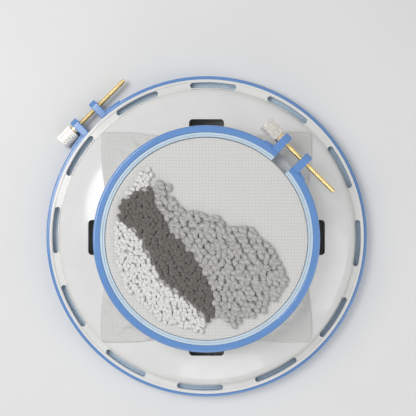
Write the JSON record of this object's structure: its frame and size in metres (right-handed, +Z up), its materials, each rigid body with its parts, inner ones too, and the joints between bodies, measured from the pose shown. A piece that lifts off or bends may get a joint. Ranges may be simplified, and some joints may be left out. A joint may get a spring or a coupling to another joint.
{
  "type": "embroidery hoop on stand",
  "caption": "Domed stand that holds a split embroidery hoop with cloth and looped yarn pile above a larger split hoop at its foot.",
  "frame": {"origin": "centre of the foot, on the table", "axes": "+Z up, through the hoops' centre; the small hoop's gap is between +X and +Y"},
  "size_m": [0.276, 0.276, 0.0697],
  "materials": {
    "white_shell": "glossy moulded white plastic",
    "inner_white": "satin white plastic",
    "hoop_blue": "glossy blue plastic",
    "grip_pale": "soft pale-blue strip",
    "brass": "turned brass",
    "knob_metal": "fluted, nickel plated",
    "cloth": "open even-weave cotton",
    "yarn_white": "looped wool yarn",
    "yarn_dark": "looped wool yarn",
    "yarn_grey": "looped wool yarn"
  },
  "bodies": {
    "base_hoop": {"large_outer_ring": "hoop_blue", "large_grip_liner": "grip_pale", "large_nut": "brass"},
    "large_screw_seat": {"large_washer": "knob_metal"},
    "large_thumbscrew": {"large_screw": "brass", "large_knob": "knob_metal", "large_knob_insert": "brass"},
    "stand": {"stand_rim": "white_shell", "stand_neck": "white_shell", "stand_slots": "white_shell", "stand_dome": "white_shell", "stand_foot": "white_shell", "large_inner_ring": "inner_white"},
    "work": {"small_inner_ring": "inner_white", "cloth": "cloth", "pile_white": "yarn_white", "pile_dark": "yarn_dark", "pile_grey": "yarn_grey"},
    "small_hoop": {"small_outer_ring": "hoop_blue", "small_grip_liner": "grip_pale", "small_nut": "brass"},
    "small_screw_seat": {"small_washer": "knob_metal"},
    "small_thumbscrew": {"small_screw": "brass", "small_knob": "knob_metal", "small_knob_insert": "brass"}
  },
  "joints": [
    {"name": "stand_lift", "type": "slide", "parent": "base_hoop", "child": "stand", "axis": [0, 0, 1], "range_m": [0, 0.03]},
    {"name": "work_lift", "type": "slide", "parent": "stand", "child": "work", "axis": [0, 0, 1], "range_m": [0, 0.04]},
    {"name": "small_hoop_lift", "type": "slide", "parent": "work", "child": "small_hoop", "axis": [0, 0, 1], "range_m": [0, 0.03]},
    {"name": "small_screw_advance", "type": "slide", "parent": "small_hoop", "child": "small_screw_seat", "axis": [-0.7071, 0.7071, 0], "range_m": [0, 0.0028]},
    {"name": "small_screw_turn", "type": "hinge", "parent": "small_screw_seat", "child": "small_thumbscrew", "pos_m": [0.0693, 0.0693, 0.0617], "axis": [-0.7071, 0.7071, 0], "range_deg": [0, 1440]},
    {"name": "large_screw_advance", "type": "slide", "parent": "base_hoop", "child": "large_screw_seat", "axis": [-0.7071, -0.7071, 0], "range_m": [0, 0.0028]},
    {"name": "large_screw_turn", "type": "hinge", "parent": "large_screw_seat", "child": "large_thumbscrew", "pos_m": [-0.10324, 0.10324, 0.0069], "axis": [-0.7071, -0.7071, 0], "range_deg": [0, 1440]}
  ],
  "couplings": [
    {"joint": "small_screw_turn", "follows": "small_screw_advance", "rad_per_m": 8976},
    {"joint": "large_screw_turn", "follows": "large_screw_advance", "rad_per_m": 8976}
  ]
}
